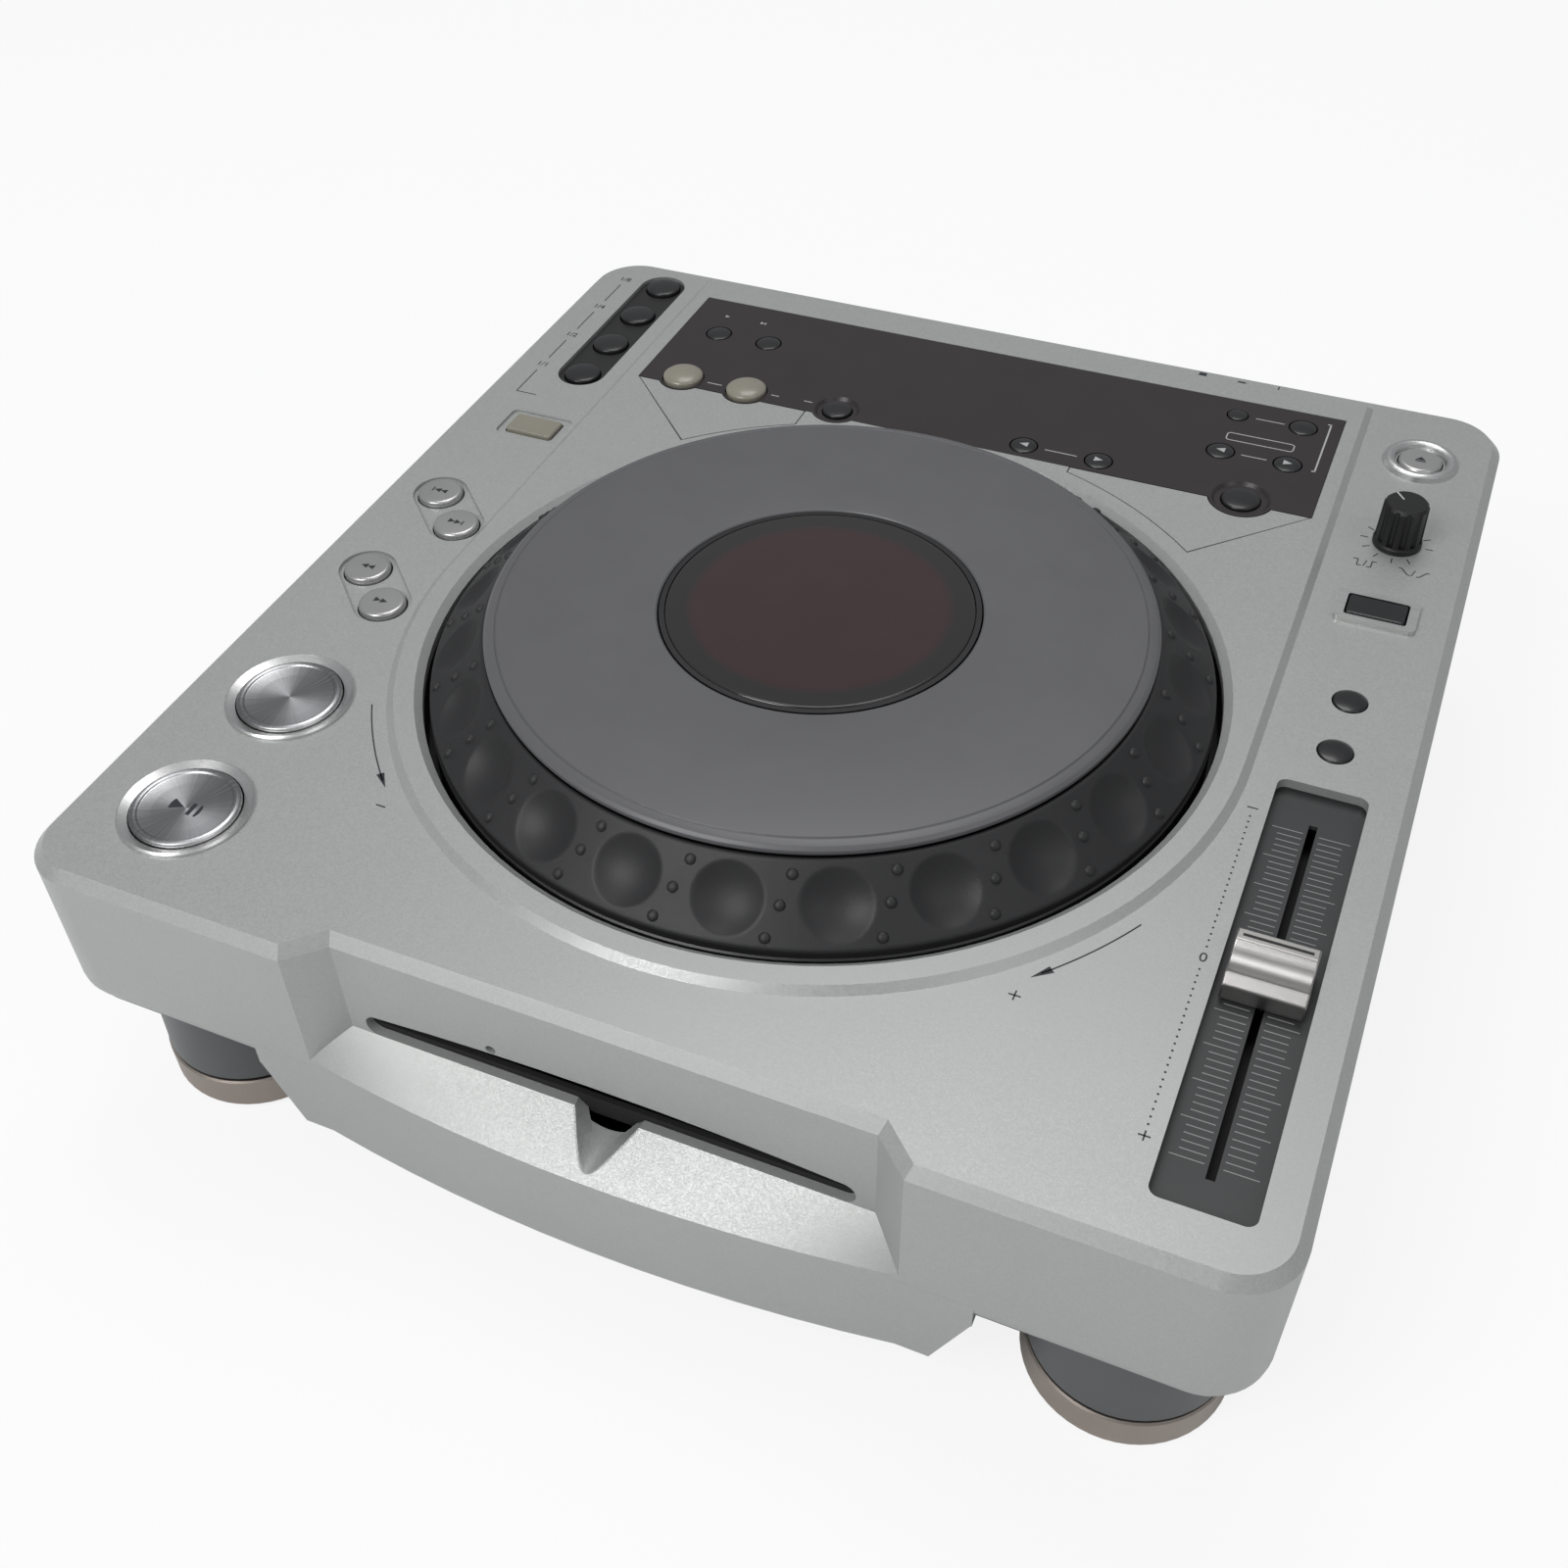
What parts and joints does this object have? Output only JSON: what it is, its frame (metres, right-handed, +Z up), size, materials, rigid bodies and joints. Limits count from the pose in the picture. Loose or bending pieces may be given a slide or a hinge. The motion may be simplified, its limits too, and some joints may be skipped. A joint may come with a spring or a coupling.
{
  "type": "tabletop dj cd player",
  "caption": "Tabletop disc player for mixing, with a slot-loading drive, a large touch dial, a tempo fader, push buttons and round feet.",
  "frame": {"origin": "on the table, under the middle of the player's bounding box", "axes": "+X to the user's right, +Y to the back, +Z up"},
  "size_m": [0.305, 0.338, 0.1076],
  "materials": {
    "silver_paint": "fine metallic silver paint, satin",
    "turned_metal": "brushed and lacquered",
    "silver_key": "satin silver",
    "dark_panel": "dark tinted, semi-gloss",
    "black_key": "satin black",
    "pearl_key": "translucent pearl",
    "black_plastic": "moulded matt",
    "rubber_black": "fine matt texture",
    "plate_grey": "very fine matt grey",
    "display_glass": "smoked dark red, polished",
    "foot_plastic": "satin dark grey",
    "foot_metal": "satin, warm grey",
    "pad_rubber": "matt",
    "felt": "short black pile",
    "steel": "zinc-plated sheet",
    "board_green": "solder mask",
    "jack_metal": "nickel-plated",
    "pan_paint": "grey paint"
  },
  "bodies": {
    "root": {"top_cover": "silver_paint", "display_panel": "dark_panel", "loop_strip": "black_plastic", "fader_panel": "black_plastic", "jog_tub": "black_plastic", "display_lens": "display_glass", "bottom_pan": "pan_paint", "slot_felt": "felt", "drive_frame": "steel", "disc_guide": "black_plastic", "rear_panel": "steel", "mains_inlet": "black_plastic", "button_bezels": "turned_metal", "control_pots": "steel", "control_boards": "board_green", "display_modules": "display_glass", "foot_collars": "foot_plastic", "foot_rings": "foot_metal", "foot_pads": "pad_rubber", "main_board": "board_green", "power_supply": "board_green", "signal_jacks": "jack_metal", "cheek_plates": "silver_paint"},
    "dial": {"jog_hub": "black_plastic", "jog_ring": "rubber_black"},
    "touch_plate": {"touch_plate": "plate_grey"},
    "fader": {"fader_cap": "turned_metal"},
    "knob": {"speed_knob": "black_plastic"},
    "roller": {"loading_roller": "rubber_black"},
    "traverse": {"traverse_plate": "steel"},
    "turntable": {"turntable_hub": "black_plastic"},
    "sled": {"pickup_sled": "black_plastic"},
    "power": {"power_button": "black_key"},
    "play": {"play_button": "turned_metal"},
    "cue": {"cue_button": "turned_metal"},
    "eject": {"eject_button": "silver_key"},
    "tempo_range": {"tempo_range_button": "black_key"},
    "master_tempo": {"master_tempo_button": "black_key"},
    "track_back": {"track_back_button": "silver_key"},
    "track_forward": {"track_forward_button": "silver_key"},
    "search_back": {"search_back_button": "silver_key"},
    "search_forward": {"search_forward_button": "silver_key"},
    "loop_1": {"loop_1_button": "black_key"},
    "loop_2": {"loop_2_button": "black_key"},
    "loop_3": {"loop_3_button": "black_key"},
    "loop_4": {"loop_4_button": "black_key"},
    "time_mode": {"time_mode_button": "black_key"},
    "text_mode": {"text_mode_button": "black_key"},
    "cue_in": {"cue_in_button": "pearl_key"},
    "cue_out": {"cue_out_button": "pearl_key"},
    "reloop": {"reloop_button": "black_key"},
    "folder_back": {"folder_back_button": "black_key"},
    "folder_forward": {"folder_forward_button": "black_key"},
    "delete": {"delete_button": "black_key"},
    "memory": {"memory_button": "black_key"},
    "call_back": {"call_back_button": "black_key"},
    "call_forward": {"call_forward_button": "black_key"},
    "quick_return": {"quick_return_button": "black_key"},
    "reverse": {"reverse_button": "pearl_key"},
    "jog_mode": {"jog_mode_button": "black_key"}
  },
  "joints": [
    {"name": "dial_spin", "type": "hinge", "parent": "root", "child": "dial", "pos_m": [0, -0.023, 0.0908], "axis": [0, 0, 1], "continuous": true},
    {"name": "touch_press", "type": "slide", "parent": "dial", "child": "touch_plate", "axis": [0, 0, -1], "range_m": [0, 0.0005], "stiffness_N_per_m": 6000},
    {"name": "tempo_slide", "type": "slide", "parent": "root", "child": "fader", "axis": [0, 1, 0], "range_m": [-0.05, 0.05]},
    {"name": "speed_turn", "type": "hinge", "parent": "root", "child": "knob", "pos_m": [0.131, 0.0843, 0.0892], "axis": [0, 0, 1], "range_deg": [-188, 112]},
    {"name": "roller_spin", "type": "hinge", "parent": "root", "child": "roller", "pos_m": [0, -0.142, 0.0557], "axis": [1, 0, 0], "continuous": true},
    {"name": "traverse_lift", "type": "hinge", "parent": "root", "child": "traverse", "pos_m": [0, -0.0113, 0.0447], "axis": [-1, 0, 0], "range_deg": [0, 3]},
    {"name": "turntable_spin", "type": "hinge", "parent": "traverse", "child": "turntable", "pos_m": [0, -0.081, 0.0572], "axis": [0, 0, 1], "continuous": true},
    {"name": "sled_slide", "type": "slide", "parent": "traverse", "child": "sled", "axis": [0, 1, 0], "range_m": [0, 0.034]},
    {"name": "power_push", "type": "slide", "parent": "root", "child": "power", "axis": [0, -1, 0], "range_m": [0, 0.003], "stiffness_N_per_m": 400},
    {"name": "play_push", "type": "slide", "parent": "root", "child": "play", "axis": [0, 0, -1], "range_m": [0, 0.0008], "stiffness_N_per_m": 300},
    {"name": "cue_push", "type": "slide", "parent": "root", "child": "cue", "axis": [0, 0, -1], "range_m": [0, 0.0008], "stiffness_N_per_m": 300},
    {"name": "eject_push", "type": "slide", "parent": "root", "child": "eject", "axis": [0, 0, -1], "range_m": [0, 0.0008], "stiffness_N_per_m": 300},
    {"name": "tempo_range_push", "type": "slide", "parent": "root", "child": "tempo_range", "axis": [0, 0, -1], "range_m": [0, 0.0008], "stiffness_N_per_m": 300},
    {"name": "master_tempo_push", "type": "slide", "parent": "root", "child": "master_tempo", "axis": [0, 0, -1], "range_m": [0, 0.0008], "stiffness_N_per_m": 300},
    {"name": "track_back_push", "type": "slide", "parent": "root", "child": "track_back", "axis": [0, 0, -1], "range_m": [0, 0.0008], "stiffness_N_per_m": 300},
    {"name": "track_forward_push", "type": "slide", "parent": "root", "child": "track_forward", "axis": [0, 0, -1], "range_m": [0, 0.0008], "stiffness_N_per_m": 300},
    {"name": "search_back_push", "type": "slide", "parent": "root", "child": "search_back", "axis": [0, 0, -1], "range_m": [0, 0.0008], "stiffness_N_per_m": 300},
    {"name": "search_forward_push", "type": "slide", "parent": "root", "child": "search_forward", "axis": [0, 0, -1], "range_m": [0, 0.0008], "stiffness_N_per_m": 300},
    {"name": "loop_1_push", "type": "slide", "parent": "root", "child": "loop_1", "axis": [0, 0, -1], "range_m": [0, 0.0008], "stiffness_N_per_m": 300},
    {"name": "loop_2_push", "type": "slide", "parent": "root", "child": "loop_2", "axis": [0, 0, -1], "range_m": [0, 0.0008], "stiffness_N_per_m": 300},
    {"name": "loop_3_push", "type": "slide", "parent": "root", "child": "loop_3", "axis": [0, 0, -1], "range_m": [0, 0.0008], "stiffness_N_per_m": 300},
    {"name": "loop_4_push", "type": "slide", "parent": "root", "child": "loop_4", "axis": [0, 0, -1], "range_m": [0, 0.0008], "stiffness_N_per_m": 300},
    {"name": "time_mode_push", "type": "slide", "parent": "root", "child": "time_mode", "axis": [0, 0, -1], "range_m": [0, 0.0008], "stiffness_N_per_m": 300},
    {"name": "text_mode_push", "type": "slide", "parent": "root", "child": "text_mode", "axis": [0, 0, -1], "range_m": [0, 0.0008], "stiffness_N_per_m": 300},
    {"name": "cue_in_push", "type": "slide", "parent": "root", "child": "cue_in", "axis": [0, 0, -1], "range_m": [0, 0.0008], "stiffness_N_per_m": 300},
    {"name": "cue_out_push", "type": "slide", "parent": "root", "child": "cue_out", "axis": [0, 0, -1], "range_m": [0, 0.0008], "stiffness_N_per_m": 300},
    {"name": "reloop_push", "type": "slide", "parent": "root", "child": "reloop", "axis": [0, 0, -1], "range_m": [0, 0.0008], "stiffness_N_per_m": 300},
    {"name": "folder_back_push", "type": "slide", "parent": "root", "child": "folder_back", "axis": [0, 0, -1], "range_m": [0, 0.0008], "stiffness_N_per_m": 300},
    {"name": "folder_forward_push", "type": "slide", "parent": "root", "child": "folder_forward", "axis": [0, 0, -1], "range_m": [0, 0.0008], "stiffness_N_per_m": 300},
    {"name": "delete_push", "type": "slide", "parent": "root", "child": "delete", "axis": [0, 0, -1], "range_m": [0, 0.0008], "stiffness_N_per_m": 300},
    {"name": "memory_push", "type": "slide", "parent": "root", "child": "memory", "axis": [0, 0, -1], "range_m": [0, 0.0008], "stiffness_N_per_m": 300},
    {"name": "call_back_push", "type": "slide", "parent": "root", "child": "call_back", "axis": [0, 0, -1], "range_m": [0, 0.0008], "stiffness_N_per_m": 300},
    {"name": "call_forward_push", "type": "slide", "parent": "root", "child": "call_forward", "axis": [0, 0, -1], "range_m": [0, 0.0008], "stiffness_N_per_m": 300},
    {"name": "quick_return_push", "type": "slide", "parent": "root", "child": "quick_return", "axis": [0, 0, -1], "range_m": [0, 0.0008], "stiffness_N_per_m": 300},
    {"name": "reverse_push", "type": "slide", "parent": "root", "child": "reverse", "axis": [0, 0, -1], "range_m": [0, 0.0008], "stiffness_N_per_m": 300},
    {"name": "jog_mode_push", "type": "slide", "parent": "root", "child": "jog_mode", "axis": [0, 0, -1], "range_m": [0, 0.0008], "stiffness_N_per_m": 300}
  ]
}
